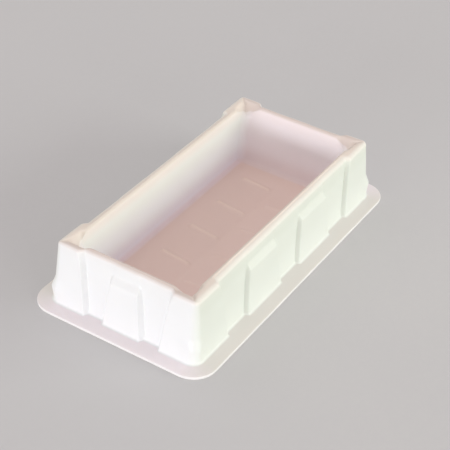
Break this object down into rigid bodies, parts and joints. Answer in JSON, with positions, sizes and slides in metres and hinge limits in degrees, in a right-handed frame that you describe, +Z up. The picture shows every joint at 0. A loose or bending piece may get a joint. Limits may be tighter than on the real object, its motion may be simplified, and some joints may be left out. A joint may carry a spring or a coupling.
{
  "type": "reagent reservoir",
  "caption": "Open rectangular laboratory reservoir: a drafted well with corner pouring spouts inside a ribbed outer skirt that ends in a flat base flange.",
  "frame": {"origin": "centre of the flange's footprint, on the surface that the tray stands on", "axes": "+X along the well's long side, +Y across the well, +Z up towards the open mouth"},
  "size_m": [0.14, 0.076, 0.027],
  "materials": {
    "white_styrene": "satin"
  },
  "bodies": {
    "root": {"reservoir": "white_styrene"}
  },
  "joints": []
}
